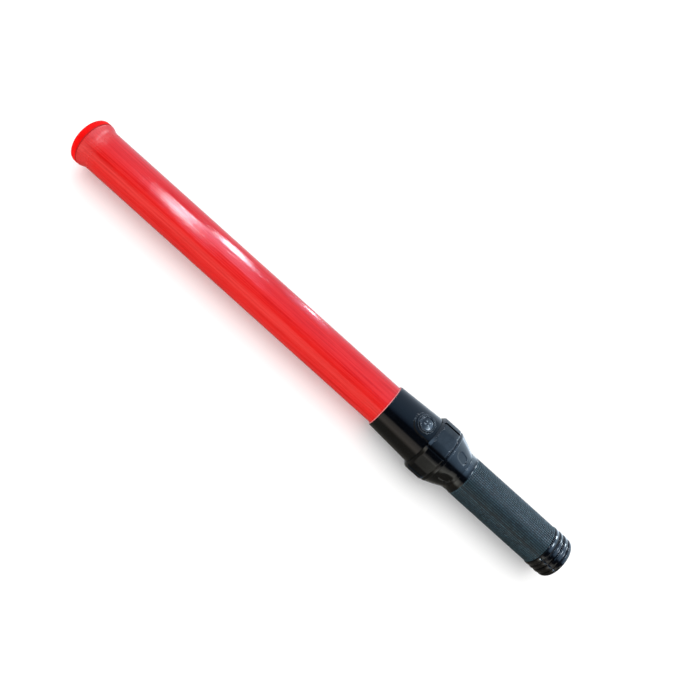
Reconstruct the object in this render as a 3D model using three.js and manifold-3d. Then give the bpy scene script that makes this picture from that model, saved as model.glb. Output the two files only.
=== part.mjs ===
// A traffic baton light: a red light tube on a black battery handle, lying along +X.
// Lengths are millimetres. Every piece is drawn in "station" coordinates: x is the distance
// from the tail's end face, and the baton's axis is the x axis. The group at the end lifts
// the axis to its height, so that the baton lies on z = 0 on the collar's lowest panel.

import * as THREE from 'three';
import { mergeVertices } from 'three/addons/utils/BufferGeometryUtils.js';
import Module from 'manifold-3d';

const wasm = await Module();
wasm.setup();

// ---------------------------------------------------------------- driving dimensions

const LENGTH = 540;
const GAP = 0.3; // between pieces that touch on the real baton
const COLLAR_FLAT = 26.9; // from the axis to the middle of a collar panel
const COLLAR_CORNER = 27.6;
const PANELS = 6;

// stations along the axis, from the tail's end face
const S = {
  capEnd: 15.2, // where the tail cap meets the handle
  gripStart: 20.1,
  gripEnd: 107.8,
  coneStart: 114.3,
  coneEnd: 131.6,
  ringEnd: 134.2,
  collarStart: 134.9,
  collarEnd: 153.3,
  button: 164,
  tubeFoot: 185.6,
  headEnd: 197.6,
  flareStart: 527.5,
  flareEnd: 531.8,
  tubeEnd: 532.3,
  topCap: 533.1,
};

// radii
const R = {
  capFace: 16.5,
  band: 19.8,
  grip: 19.1,
  neck: 18.9,
  ring: 26.3,
  collar: 26.0,
  bore: 17.5,
  socket: 22.9,
  headRear: 23.8,
  headFront: 21.2,
  headInside: 20.5,
  tube: 19.6,
  tubeInside: 17.8,
  flare: 21.8,
  button: 7.1,
};

const PITCH = 3; // of the tail cap's thread
const CELL = { radius: 17.1, length: 61.5, start: 25.5, gap: 0.3 };
const BOARD_TOP = 4.2; // height of the control board's upper face over the axis
const WIRE = 0.6;

// ---------------------------------------------------------------- materials

const plastic = (color, roughness) =>
  new THREE.MeshStandardMaterial({ color, roughness, metalness: 0 });
const metal = (color, roughness) =>
  new THREE.MeshStandardMaterial({ color, roughness, metalness: 1 });

const MATERIAL = {
  black: plastic(0x14171a, 0.18),
  grip: plastic(0x2a3138, 0.5),
  redTube: plastic(0xd92023, 0.12),
  diffuser: plastic(0xe0383a, 0.35),
  redCap: plastic(0xf20a0c, 0.25),
  rubber: plastic(0x101010, 0.7),
  clearRing: plastic(0xf0b8b4, 0.3),
  buttonBlack: plastic(0x1d242b, 0.3),
  greyPlastic: plastic(0x55585a, 0.5),
  whitePlastic: plastic(0xe8e6e0, 0.45),
  board: plastic(0x1f6b3a, 0.4),
  chip: plastic(0x18181a, 0.5),
  led: plastic(0xf6e6e0, 0.2),
  sleeve: plastic(0x2c3f8a, 0.35),
  brass: metal(0xc9a24e, 0.3),
  steel: metal(0xb9bcc0, 0.3),
  redWire: plastic(0xb01515, 0.5),
  blackWire: plastic(0x151515, 0.5),
};

// ---------------------------------------------------------------- geometry helpers

const TURN = 2 * Math.PI;
const ROUND = 36; // sides of a large round piece; neighbours share it, so their facets line up
const rad = THREE.MathUtils.degToRad;

// keeps position only, welds the vertices and drops triangles that have collapsed
function weld(geometry) {
  const bare = geometry.index ? geometry.toNonIndexed() : geometry.clone();
  bare.deleteAttribute('normal');
  bare.deleteAttribute('uv');
  const merged = mergeVertices(bare, 1e-4);
  const old = merged.index.array;
  const kept = [];
  for (let i = 0; i < old.length; i += 3) {
    const [a, b, c] = [old[i], old[i + 1], old[i + 2]];
    if (a !== b && b !== c && c !== a) kept.push(a, b, c);
  }
  merged.setIndex(kept);
  return merged;
}

function signedVolume(geometry) {
  const p = geometry.attributes.position;
  const index = geometry.index.array;
  const corner = [new THREE.Vector3(), new THREE.Vector3(), new THREE.Vector3()];
  let sum = 0;
  for (let i = 0; i < index.length; i += 3) {
    corner.forEach((v, k) => v.fromBufferAttribute(p, index[i + k]));
    sum += corner[0].dot(corner[1].clone().cross(corner[2]));
  }
  return sum / 6;
}

// a welded geometry whose faces point out
function outward(geometry) {
  const welded = weld(geometry);
  if (signedVolume(welded) < 0) {
    const index = welded.index.array;
    for (let i = 0; i < index.length; i += 3) {
      [index[i], index[i + 1]] = [index[i + 1], index[i]];
    }
  }
  return welded;
}

function solid(geometry) {
  const g = outward(geometry);
  return new wasm.Manifold(new wasm.Mesh({
    numProp: 3,
    vertProperties: new Float32Array(g.attributes.position.array),
    triVerts: new Uint32Array(g.index.array),
  }));
}

function geometryOf(manifold) {
  const mesh = manifold.getMesh();
  const g = new THREE.BufferGeometry();
  g.setAttribute('position', new THREE.BufferAttribute(mesh.vertProperties, 3));
  g.setIndex(new THREE.BufferAttribute(mesh.triVerts, 1));
  return g;
}

const subtract = (base, ...tools) =>
  geometryOf(tools.reduce((left, tool) => left.subtract(solid(tool)), solid(base)));
const join = (base, ...others) =>
  geometryOf(others.reduce((sum, other) => sum.add(solid(other)), solid(base)));
const intersect = (base, ...others) =>
  geometryOf(others.reduce((common, other) => common.intersect(solid(other)), solid(base)));

// turns a profile of [station, radius] points about the baton's axis
function revolve(profile, segments = ROUND) {
  const points = profile.map(([station, radius]) => new THREE.Vector2(radius, station));
  const onAxis = profile[0][1] === 0 && profile.at(-1)[1] === 0;
  if (!onAxis) points.push(points[0].clone());
  return outward(new THREE.LatheGeometry(points, segments).rotateZ(-Math.PI / 2));
}

// a ring or tube of rectangular section about the axis
const sleeve = (from, to, inner, outer, segments) =>
  revolve([[from, inner], [to, inner], [to, outer], [from, outer]], segments);

// a solid round bar about the axis
const bar = (from, to, radius, segments = ROUND) =>
  revolve([[from, 0], [from, radius], [to, radius], [to, 0]], segments);

// turns a profile of [radius, height] points about a vertical line at (x, y)
function turned(profile, x, y = 0, segments = 20) {
  const points = profile.map(([radius, height]) => new THREE.Vector2(radius, height));
  const onAxis = profile[0][0] === 0 && profile.at(-1)[0] === 0;
  if (!onAxis) points.push(points[0].clone());
  const lathe = new THREE.LatheGeometry(points, segments);
  return outward(lathe.rotateX(Math.PI / 2).translate(x, y, 0));
}

const upright = (x, y, from, to, radius, segments) =>
  turned([[0, from], [radius, from], [radius, to], [0, to]], x, y, segments);

function box([x0, y0, z0], [x1, y1, z1]) {
  const g = new THREE.BoxGeometry(x1 - x0, y1 - y0, z1 - z0);
  return outward(g.translate((x0 + x1) / 2, (y0 + y1) / 2, (z0 + z1) / 2));
}

// a regular polygon's points in the plane of an extrusion's section
const polygon = (radius, sides) =>
  Array.from({ length: sides }, (_, i) => {
    const a = (TURN * (i + 0.5)) / sides;
    return new THREE.Vector2(radius * Math.cos(a), radius * Math.sin(a));
  });

function tubeAlong(curve, radius, steps, sides = 6) {
  const shape = new THREE.Shape(polygon(radius, sides));
  return outward(new THREE.ExtrudeGeometry(shape, { steps, extrudePath: curve }));
}

const wire = (points, steps = 8) =>
  tubeAlong(new THREE.CatmullRomCurve3(points.map((p) => new THREE.Vector3(...p))), WIRE, steps);

// a helix about the x axis whose radius goes from r0 to r1; right-handed for a positive pitch
class Helix extends THREE.Curve {
  constructor(from, pitch, turns, r0, r1 = r0) {
    super();
    Object.assign(this, { from, pitch, turns, r0, r1 });
  }

  getPoint(t, target = new THREE.Vector3()) {
    const a = TURN * this.turns * t;
    const r = this.r0 + (this.r1 - this.r0) * t;
    const along = this.from + this.pitch * this.turns * t;
    return target.set(along, r * Math.cos(a), r * Math.sin(a));
  }
}

const STEPS_A_TURN = 18;
const helixTube = (helix, radius, sides) =>
  tubeAlong(helix, radius, Math.round(STEPS_A_TURN * Math.abs(helix.turns)), sides);

const turnedBy = (geometry, degrees) => geometry.clone().rotateX(rad(degrees));
const around = (count, make) => Array.from({ length: count }, (_, i) => make((360 * i) / count));

// ---------------------------------------------------------------- tail cap

const THREAD = { radius: 17.15, ridge: 0.8, play: 0.5, from: 18.6, turns: 1.5 };
const NOTCH = { angle: 52.7, width: 0.9, depth: 0.5 };

function notchCutter(from, to) {
  const half = NOTCH.width / 2;
  const floor = R.band - NOTCH.depth;
  return turnedBy(box([from, -half, floor], [to, half, floor + 3]), -NOTCH.angle);
}

function tailCap() {
  const groove = (s) => [[s - 0.5, R.band], [s, R.band - 0.6], [s + 0.5, R.band]];
  const shell = revolve([
    [3, 0], [3, 15.2], [24.3, 15.2], [24.3, 16.8], [23.9, THREAD.radius],
    [S.capEnd, THREAD.radius], [S.capEnd, 17.7], [14.4, 17.7], [14.4, 19.0], [S.capEnd, 19.0],
    [S.capEnd, 19.5], [14.9, R.band], ...groove(10.7).reverse(), ...groove(5.4).reverse(),
    [4, 19.6], [1.7, 18.6], [0, R.capFace], [0, 0],
  ]);
  const ridge = helixTube(
    new Helix(THREAD.from, PITCH, THREAD.turns, THREAD.radius), THREAD.ridge, 4);
  const rivetHole = bar(1.4, 3.5, 2.1, 16);
  return subtract(join(shell, ridge), rivetHole, notchCutter(-1, S.capEnd + 1));
}

const tailORing = () =>
  revolve(polygon(0.42, 6).map((p) => [14.92 + p.x, 18.35 + p.y]));

const tailSpring = () =>
  helixTube(new Helix(5.0, 4.75, 4, 11.5, 7.5), 0.7, 5);

const tailContactDisc = () => sleeve(3.3, 3.9, 2.15, 14.6, 24);

const tailRivet = () =>
  revolve([[1.6, 0], [1.6, 2], [4.1, 2], [4.1, 3.6], [4.7, 3], [4.9, 0]], 12);

// ---------------------------------------------------------------- handle

// one collar panel, a wedge of the hexagon softened by a round corner radius
function collarPanel(angle) {
  const half = rad(27.5);
  const reach = 40;
  const wedge = new THREE.Shape([
    new THREE.Vector2(0, 0),
    new THREE.Vector2(reach, -reach * Math.tan(half)),
    new THREE.Vector2(reach, reach * Math.tan(half)),
  ]);
  const length = S.collarEnd - S.collarStart;
  // the wedge is drawn with its middle on +x, and turned so that this points up
  const prism = new THREE.ExtrudeGeometry(wedge, { depth: length, bevelEnabled: false })
    .rotateY(Math.PI / 2)
    .translate(S.collarStart, 0, 0);
  return turnedBy(outward(prism), angle);
}

const collarBarrel = () => revolve([
  [S.collarStart, 20], [S.collarEnd, 20], [S.collarEnd, 24.9],
  [S.collarEnd - 2.7, COLLAR_CORNER], [S.collarStart + 1.0, COLLAR_CORNER],
  [S.collarStart, COLLAR_CORNER - 1],
]);

function hexagonBar() {
  const corner = COLLAR_FLAT / Math.cos(Math.PI / PANELS);
  const hexagon = new THREE.CylinderGeometry(corner, corner, 30, PANELS)
    .rotateZ(-Math.PI / 2)
    .translate((S.collarStart + S.collarEnd) / 2, 0, 0);
  return outward(hexagon.rotateX(Math.PI / PANELS));
}

// a sunk flute with round ends, cut into the cone in line with a collar panel
function fluteCutter(angle) {
  const [x0, x1] = [S.coneStart + 3, S.coneEnd - 3.2];
  const slope = Math.atan2(7, S.coneEnd - S.coneStart);
  const half = 4.6;
  const outline = new THREE.Shape();
  outline.absarc(0, 0, half, Math.PI / 2, (3 * Math.PI) / 2);
  outline.absarc(x1 - x0 - half, 0, half, -Math.PI / 2, Math.PI / 2);
  const cutter = new THREE.ExtrudeGeometry(outline, { depth: 8, bevelEnabled: false, curveSegments: 6 })
    .rotateY(-slope)
    .translate(x0 + half, 0, 20.3);
  return turnedBy(outward(cutter), angle);
}

function handleBody() {
  const outer = revolve([
    [15.5, 10], [S.collarEnd, 10], [S.collarEnd, 24.2], [S.collarEnd - 1, R.collar],
    [S.collarStart, R.collar], [S.collarStart - 0.1, 25.7], [S.ringEnd + 0.1, 25.7],
    [S.ringEnd, R.ring], [S.coneEnd + 0.3, R.ring], [S.coneEnd, 26.0], [S.coneEnd - 8, 22.8],
    [S.coneStart + 2.4, 19.5], [S.coneStart, R.neck], [S.gripEnd, R.neck], [S.gripEnd, R.grip],
    [S.gripStart, R.grip], [S.gripStart, R.band - 0.3], [S.gripStart - 0.4, R.band],
    [15.9, R.band], [15.5, R.band - 0.3],
  ]);
  const panels = intersect(collarBarrel(), hexagonBar());
  const wedges = around(PANELS, collarPanel);
  const collar = wedges.map((wedge) => intersect(panels, wedge));
  const bore = bar(5, 141, R.bore);
  const socket = bar(141, 160, R.socket);
  const grooveSize = THREAD.ridge + THREAD.play;
  const mouthTurns = 1.5; // from the ridge's start out through the handle's mouth
  const spare = 0.1; // turns past the ridge's inner end
  const groove = helixTube(
    new Helix(THREAD.from - PITCH * mouthTurns, PITCH, mouthTurns + THREAD.turns + spare, THREAD.radius),
    grooveSize, 4).rotateX(-TURN * mouthTurns);
  const stripChannel = box([24, -3.4, -18.1], [142, 3.4, -10]);
  return subtract(
    join(outer, ...collar), bore, socket, groove, stripChannel,
    ...around(PANELS, fluteCutter), notchCutter(10, S.gripStart));
}

const groundStrip = () => box([25.3, -2.6, -17.85], [156.4, 2.6, -17.45]);
const stripSlot = () => box([150, -3, -18.3], [156, 3, -17.1]);

function cell(start) {
  const end = start + CELL.length;
  return revolve([
    [start, 0], [start, 15], [start + 0.5, 15], [start + 0.5, CELL.radius],
    [end - 2.8, CELL.radius], [end - 2.8, 13], [end - 2, 13], [end - 2, 4.7], [end, 4.5], [end, 0],
  ], 28);
}

// ---------------------------------------------------------------- head

const headRadius = (s) =>
  R.headFront + ((R.headRear - R.headFront) * (S.headEnd - s)) / (S.headEnd - S.collarEnd);

const PAD = { half: 10.3, rise: 1.1, end: S.collarEnd + GAP };

// the raised pad: an arch about the button whose sides run back to the collar
function padPlate() {
  const outline = new THREE.Shape();
  outline.moveTo(PAD.end, -PAD.half);
  outline.absarc(S.button, 0, PAD.half, -Math.PI / 2, Math.PI / 2);
  outline.lineTo(PAD.end, PAD.half);
  const post = new THREE.ExtrudeGeometry(outline, { depth: 20, bevelEnabled: false, curveSegments: 10 });
  const front = S.button + PAD.half + 2;
  const skin = revolve([
    [PAD.end, 22], [front, 21], [front, headRadius(front) + PAD.rise],
    [PAD.end, headRadius(PAD.end) + PAD.rise],
  ]);
  return intersect(skin, post.translate(0, 0, 12));
}

function headHousing() {
  const start = 141.4;
  const neck = S.collarEnd + GAP;
  const shell = revolve([
    [start, R.headInside], [184.6, R.headInside], [184.6, 16.6], [S.tubeFoot - 0.3, 16.6],
    [S.tubeFoot - 0.3, R.tube + 0.15], [S.headEnd, R.tube + 0.15],
    [S.headEnd, R.headFront - 0.5], [S.headEnd - 0.7, R.headFront],
    [neck, headRadius(neck)], [neck, 22.6], [148, 22.6], [148, 21.9], [146.4, 21.9],
    [146.4, 22.6], [start, 22.6],
  ]);
  return subtract(
    join(shell, padPlate()),
    upright(S.button, 0, 10, 30, 7.4, 24), // button bore
    upright(S.button, 0, 23.0, 30, 8.7, 24)); // seat of the button's ring
}

const headORing = () =>
  revolve(polygon(0.44, 6).map((p) => [147.2 + p.x, 22.38 + p.y]));

const tubeSeatRing = () => sleeve(S.headEnd + 0.15, S.headEnd + 0.75, R.tube + 0.1, 20.7);

// ---------------------------------------------------------------- push button and switch

const buttonRing = () =>
  turned([[7.5, 23.3], [8.45, 23.3], [8.45, 24.7], [8.1, 25.1], [7.5, 25.1]], S.button, 0, 24);

function pushButton() {
  const cap = turned([
    [0, 17.4], [8.2, 17.4], [8.2, 18.4], [R.button, 18.4], [R.button, 25.4], [6.7, 25.9],
    [6.0, 25.9], [5.4, 25.4], [0, 26.0],
  ], S.button, 0, 24);
  const bumps = [45, 135, 225, 315].map((a) => {
    const [dx, dy] = [2.1 * Math.cos(rad(a)), 2.1 * Math.sin(rad(a))];
    return turned([[0, 25], [0.95, 25], [0.95, 26], [0, 26.4]], S.button + dx, dy, 8);
  });
  return join(cap, ...bumps);
}

const switchPlunger = () =>
  turned([[0, 9.8], [2.2, 9.8], [2.2, 15.2], [3.2, 15.2], [3.2, 17.1], [0, 17.1]], S.button, 0, 20);

// the return spring, coiled about the plunger; it shortens towards its lower end
function buttonSpring() {
  const coil = helixTube(new Helix(0, 1.15, 3, 4.4), 0.35, 4);
  return coil.rotateY(-Math.PI / 2).translate(S.button, 0, 13.1);
}

const switchBody = () => subtract(
  box([S.button - 7, -6, BOARD_TOP + 0.1], [S.button + 7, 6, 12.4]),
  upright(S.button, 0, 7.4, 14, 2.26, 20));

// ---------------------------------------------------------------- control board and chassis

const SCREWS = [[157.2, -9.4], [180.6, 9.4]];

const controlBoard = () => subtract(
  box([155.3, -12, BOARD_TOP - 1.6], [184, 12, BOARD_TOP]),
  ...SCREWS.map(([x, y]) => upright(x, y, 0, 8, 1.3, 16)));

const boardScrew = ([x, y]) => turned([
  [0, -4.5], [1.05, -3.8], [1.05, BOARD_TOP + 0.2], [2.2, BOARD_TOP + 0.2], [2.2, BOARD_TOP + 0.9],
  [1.4, BOARD_TOP + 1.5], [0, BOARD_TOP + 1.5],
], x, y, 16);

function chassis() {
  const top = BOARD_TOP - 1.9;
  const tray = box([153.2, -12.8, -7], [184.2, 12.8, top]);
  const hollow = box([155, -7, -5.4], [182.6, 7, top + 1]);
  const disc = bar(153.1, 155, 20.1, 24);
  const contactHole = bar(150, 156, 1.5, 12);
  return subtract(
    join(tray, disc), hollow, contactHole, stripSlot(),
    ...SCREWS.map(([x, y]) => upright(x, y, -6, 8, 1.2, 16)));
}

const driverChip = () => box([174.5, -3, BOARD_TOP + 0.1], [180, 3, BOARD_TOP + 1.7]);
const capacitor = () =>
  turned([[0, BOARD_TOP + 0.1], [2.5, BOARD_TOP + 0.1], [2.5, 10.2], [2.2, 10.6], [0, 10.6]],
    176.5, -8.2, 20);
const resistor = () =>
  revolve([[-2.2, 0], [-2.2, 1.1], [-1.2, 1.3], [1.2, 1.3], [2.2, 1.1], [2.2, 0]], 12)
    .rotateZ(Math.PI / 2)
    .translate(173.3, 7.4, BOARD_TOP + 1.5);

const contactInsulator = () => subtract(sleeve(150.9, 152.8, 1.3, 20.1, 24), stripSlot());

const frontContact = () => revolve([
  [149.2, 0], [149.2, 3.4], [149.9, 3.8], [149.9, 8.5], [150.6, 8.5], [150.6, 1.1],
  [156.2, 1.1], [156.2, 0],
], 16);

// ---------------------------------------------------------------- light tube

const lightTube = () => revolve([
  [S.tubeFoot, R.tubeInside], [S.tubeEnd, R.tubeInside], [S.tubeEnd, R.flare - 0.3],
  [S.flareEnd, R.flare], [S.flareEnd - 1.2, R.flare - 0.3],
  [S.flareStart, R.tube], [S.tubeFoot, R.tube],
]);

const prismLiner = () => sleeve(187, 522, 16.7, 17.4);

const topCapGasket = () => sleeve(S.tubeEnd + 0.1, S.topCap - 0.1, 17.75, R.flare - 0.5);

const topCap = () => revolve([
  [524, 15.2], [536.6, 15.2], [536.6, 0], [540, 0], [540, 17.6], [539.4, 19.6],
  [538.2, 21.1], [536.4, R.flare], [S.topCap, R.flare],
  [S.topCap, 17.5], [524, 17.5],
]);

const LED_BOARD = { from: 186.3, to: 512, half: 7, thick: 0.8 };
const LED_STATIONS = [225, 285, 345, 405, 465];

const ledBoard = () => box(
  [LED_BOARD.from, -LED_BOARD.half, -LED_BOARD.thick],
  [LED_BOARD.to, LED_BOARD.half, LED_BOARD.thick]);

// a square base with a round lens; side is +1 for the upper face and -1 for the lower
function led(station, side) {
  const foot = LED_BOARD.thick + 0.1;
  const base = box([station - 2.5, -2.5, foot], [station + 2.5, 2.5, foot + 1.4]);
  const lens = turned([[0, foot + 0.7], [2, foot + 0.7], [2, foot + 2.2], [1.4, foot + 3.2],
    [0, foot + 3.7]], station, 0, 12);
  const both = join(base, lens);
  return side > 0 ? both : turnedBy(both, 180);
}

const slot = (from, to) => box([from, -7.2, -1.1], [to, 7.2, 1.1]);

const stripSocket = () => subtract(bar(S.tubeFoot + 0.3, 191.5, 16.2, 24), slot(184, 193));

function stripSpider() {
  const hub = bar(506, 509, 9, 24);
  const arm = box([506, -1.2, 0], [509, 1.2, 16.2]);
  return subtract(join(hub, ...around(3, (a) => turnedBy(arm, a))), slot(500, 512));
}

// ---------------------------------------------------------------- leads

// from the front contact's tail to the underside of the control board
const leadPositive = () => wire([[156.9, 0, 0], [158.5, 0.5, 0.1], [160.5, 2.5, 0.6], [161.5, 4, 1.6]]);

// from the ground strip, round the outside of the chassis, to the board's edge
const leadNegative = () => wire([
  [157.2, 0, -16.7], [158.4, 6, -15.5], [159.2, 12, -11], [159.6, 14.5, -4], [160, 13.8, 1.4],
  [160, 13.1, 3.4],
]);

const leadToStrip = (y) => wire([
  [182, y, BOARD_TOP + 0.9], [184.2, y, BOARD_TOP + 0.8], [185.1, y, 3.6], [185.1, y, 2.0],
]);

// ---------------------------------------------------------------- assembly

const baton = new THREE.Group();
baton.position.set(-LENGTH / 2, 0, COLLAR_FLAT);

function add(name, material, geometry) {
  const mesh = new THREE.Mesh(geometry, MATERIAL[material]);
  mesh.name = name;
  baton.add(mesh);
}

add('handle_body', 'grip', handleBody());
add('head_housing', 'black', headHousing());
add('light_tube', 'redTube', lightTube());
add('prism_liner', 'diffuser', prismLiner());
add('top_cap', 'redCap', topCap());
add('top_cap_gasket', 'rubber', topCapGasket());
add('tube_seat_ring', 'clearRing', tubeSeatRing());
add('head_o_ring', 'rubber', headORing());

add('button_ring', 'black', buttonRing());
add('push_button', 'buttonBlack', pushButton());
add('switch_plunger', 'whitePlastic', switchPlunger());
add('button_spring', 'steel', buttonSpring());
add('switch_body', 'greyPlastic', switchBody());

add('chassis', 'greyPlastic', chassis());
add('control_board', 'board', controlBoard());
SCREWS.forEach((place, i) => add(`board_screw_${i + 1}`, 'steel', boardScrew(place)));
add('driver_chip', 'chip', driverChip());
add('capacitor', 'sleeve', capacitor());
add('resistor', 'whitePlastic', resistor());
add('contact_insulator', 'whitePlastic', contactInsulator());
add('front_contact', 'brass', frontContact());
add('ground_strip', 'brass', groundStrip());
add('cell_rear', 'sleeve', cell(CELL.start));
add('cell_front', 'sleeve', cell(CELL.start + CELL.length + CELL.gap));
add('lead_positive', 'redWire', leadPositive());
add('lead_negative', 'blackWire', leadNegative());
add('strip_lead_positive', 'redWire', leadToStrip(4));
add('strip_lead_negative', 'blackWire', leadToStrip(-4));

add('strip_socket', 'whitePlastic', stripSocket());
add('led_board', 'board', ledBoard());
LED_STATIONS.forEach((station, i) => {
  add(`led_upper_${i + 1}`, 'led', led(station, 1));
  add(`led_lower_${i + 1}`, 'led', led(station, -1));
});
add('strip_spider', 'whitePlastic', stripSpider());

add('tail_cap', 'black', tailCap());
add('tail_o_ring', 'rubber', tailORing());
add('tail_spring', 'steel', tailSpring());
add('tail_contact_disc', 'steel', tailContactDisc());
add('tail_rivet', 'steel', tailRivet());

export default baton;
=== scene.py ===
import math

import bmesh
import bpy
import numpy as np
from mathutils import Matrix, Vector


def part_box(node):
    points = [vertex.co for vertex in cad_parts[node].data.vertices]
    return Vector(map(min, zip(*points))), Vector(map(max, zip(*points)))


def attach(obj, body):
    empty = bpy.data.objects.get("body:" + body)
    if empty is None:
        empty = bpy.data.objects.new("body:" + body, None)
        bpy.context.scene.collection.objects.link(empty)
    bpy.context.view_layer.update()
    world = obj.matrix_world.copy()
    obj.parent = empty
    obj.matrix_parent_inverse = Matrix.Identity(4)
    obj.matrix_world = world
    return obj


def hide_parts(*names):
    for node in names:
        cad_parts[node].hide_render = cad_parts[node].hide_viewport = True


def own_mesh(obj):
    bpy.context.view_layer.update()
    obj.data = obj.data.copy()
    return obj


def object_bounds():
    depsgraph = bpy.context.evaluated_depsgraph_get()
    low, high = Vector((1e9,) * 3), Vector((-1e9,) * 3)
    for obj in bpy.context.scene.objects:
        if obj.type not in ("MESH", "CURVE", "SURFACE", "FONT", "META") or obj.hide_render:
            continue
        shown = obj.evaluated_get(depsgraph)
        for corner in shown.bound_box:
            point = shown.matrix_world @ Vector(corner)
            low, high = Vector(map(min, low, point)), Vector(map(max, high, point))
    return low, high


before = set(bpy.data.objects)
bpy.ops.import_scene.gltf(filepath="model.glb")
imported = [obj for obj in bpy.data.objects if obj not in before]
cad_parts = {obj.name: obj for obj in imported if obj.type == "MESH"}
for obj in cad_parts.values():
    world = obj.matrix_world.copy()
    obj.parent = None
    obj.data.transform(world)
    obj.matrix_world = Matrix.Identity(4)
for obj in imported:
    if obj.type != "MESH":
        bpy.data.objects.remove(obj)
CAD_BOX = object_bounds()

# The looks of a traffic baton light. Every piece is drawn in baton coordinates: a station s in
# millimetres from the tail's end face, a radius r in millimetres from the baton's axis, and an
# angle a in degrees about the axis, from straight up (0) towards +Y (90).

MM = 0.001
TAIL = CAD_BOX[0].x
AXIS = sum(corner.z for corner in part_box("light_tube")) / 2


def station(x):
    """The station of a point in the row frame."""
    return (x - TAIL) / MM


def ends(node):
    """First and last station of a CAD node."""
    low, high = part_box(node)
    return station(low.x), station(high.x)


def outer(node):
    """A round CAD node's outer radius."""
    low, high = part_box(node)
    return (high.y - low.y) / 2 / MM


def middle(node):
    """Station and y of a CAD node's middle."""
    low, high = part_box(node)
    return station((low.x + high.x) / 2), (low.y + high.y) / 2 / MM


# ---------------------------------------------------------------- driving dimensions

CAP_END = 15.2  # the tail cap's edge against the handle
CAP_DEPTH = ends("tail_cap")[1]  # how far its spigot reaches into the handle
HANDLE_START, HANDLE_END = ends("handle_body")
GRIP_START, GRIP_END = 20.1, 107.8
CONE_START, CONE_END = 114.3, 131.6
RING_END = 134.2
COLLAR_START = 134.9
HEAD_START = 153.6  # where the head leaves the collar
BUTTON = middle("push_button")[0]
HEAD_INNER_START, HEAD_END = ends("head_housing")
TUBE_FOOT, TUBE_END = ends("light_tube")
FLARE_START, FLARE_END = 527.5, 531.8
LENGTH = ends("top_cap")[1]

BAND = 19.8  # radius of the tail cap's bands and of the handle's end ring
GRIP = 19.1
NECK = 18.9
RING = 26.3
GAP_FLOOR = 26.0  # of the gaps between the collar's panels
PANEL_FLAT = AXIS / MM
PANEL_CORNER = 27.6
PANELS = 6
BORE = 17.5
SOCKET = 22.9
HEAD_REAR, HEAD_FRONT = 23.8, 21.2
SPIGOT = 22.6  # the head's, in the collar's socket
HEAD_BORE = 20.5
TUBE, TUBE_BORE = 19.6, 17.8
FLARE = outer("light_tube")
BUTTON_RADIUS = 7.1

NOTCH = {"angle": 52.7, "half": 0.95, "depth": 1.35}
PANEL = {"front": 150.6, "bevel": 0.25, "edge": 0.12}  # its front bevel's start; how soft its edges are
GAP = {"from": 27.15, "to": 27.95, "lip": 24.2, "slope": 1.8}  # degrees from a panel's middle; its front
PAD = {"half": 10.3, "rise": 1.1, "edge": 0.9}
FLUTE = {"from": 116.6, "to": 128.6, "half": 4.2, "depth": 0.85, "edge": 0.6}
KNURL = {"around": 66, "along": 44, "depth": 0.7, "cross": 0.55}  # cross cuts are shallower
THREAD = {"from": 18.6, "pitch": 3.0, "turns": 1.5, "root": 17.15, "half": 0.57}
GROOVE = {"top": 18.07, "half": 0.92, "lead": 1.5, "spare": 0.1}
FLOW_WAVES, FLOW_HEIGHT = (61, 83, 97, 113), 0.012  # counts round the tube, and their height
INNER_RIBS, INNER_RIB_HEIGHT, INNER_RIBS_END = 90, 0.22, 522
LINER_RIBS, LINER_RIB_HEIGHT = 60, 0.1
DOT_ANGLES = np.radians([45, 135, 225, 315])
DOT = {"ring": 2.1, "height": 0.55, "top": 0.35, "foot": 1.05, "pale": 0.75}  # the button's dots
DOME = {"height": 26.0, "drop": 0.6, "radius": 5.4}

# ---------------------------------------------------------------- small numeric helpers


def smoothstep(low, high, x):
    t = np.clip((x - low) / (high - low), 0, 1)
    return t * t * (3 - 2 * t)


def soft_min(first, second, width):
    """The smaller of two values, rounded over about width where they meet."""
    share = np.clip(0.5 + (second - first) / (2 * width), 0, 1)
    return second + (first - second) * share - width * share * (1 - share)


def from_nearest(angle, count, offset=0.0):
    """Signed degrees from the nearest of count equally spaced directions."""
    step = 360 / count
    return (angle - offset + step / 2) % step - step / 2


def evenly(count):
    return np.arange(count) * 360 / count


def columns(count, *extra):
    """Equally spaced angles with extra ones among them."""
    every = np.concatenate([evenly(count), *[np.asarray(e) % 360 for e in extra]])
    return np.unique(np.round(every, 4))


def rounded(corners, closed=True, steps=4):
    """A profile of (along, out, corner radius), with each corner turned into an arc."""
    made = []
    count = len(corners)
    for i, (x, y, radius) in enumerate(corners):
        here = np.array([x, y])
        inner = closed or 0 < i < count - 1
        if radius <= 0 or not inner:
            made.append(here)
            continue
        before = np.array(corners[i - 1][:2]) - here
        after = np.array(corners[(i + 1) % count][:2]) - here
        lengths = np.linalg.norm(before), np.linalg.norm(after)
        before, after = before / lengths[0], after / lengths[1]
        half = math.acos(float(np.clip(before @ after, -1, 1))) / 2
        if half > math.pi / 2 - 0.02:
            made.append(here)
            continue
        reach = min(radius / math.tan(half), 0.45 * lengths[0], 0.45 * lengths[1])
        radius = reach * math.tan(half)
        middle = (before + after) / np.linalg.norm(before + after)
        centre = here + middle * radius / math.sin(half)
        start, end = here + before * reach - centre, here + after * reach - centre
        turn = math.atan2(start[0] * end[1] - start[1] * end[0], float(start @ end))
        for k in range(steps + 1):
            c, s = math.cos(turn * k / steps), math.sin(turn * k / steps)
            spun = np.array([c * start[0] - s * start[1], s * start[0] + c * start[1]])
            made.append(centre + spun)
    return np.array(made)


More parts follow.
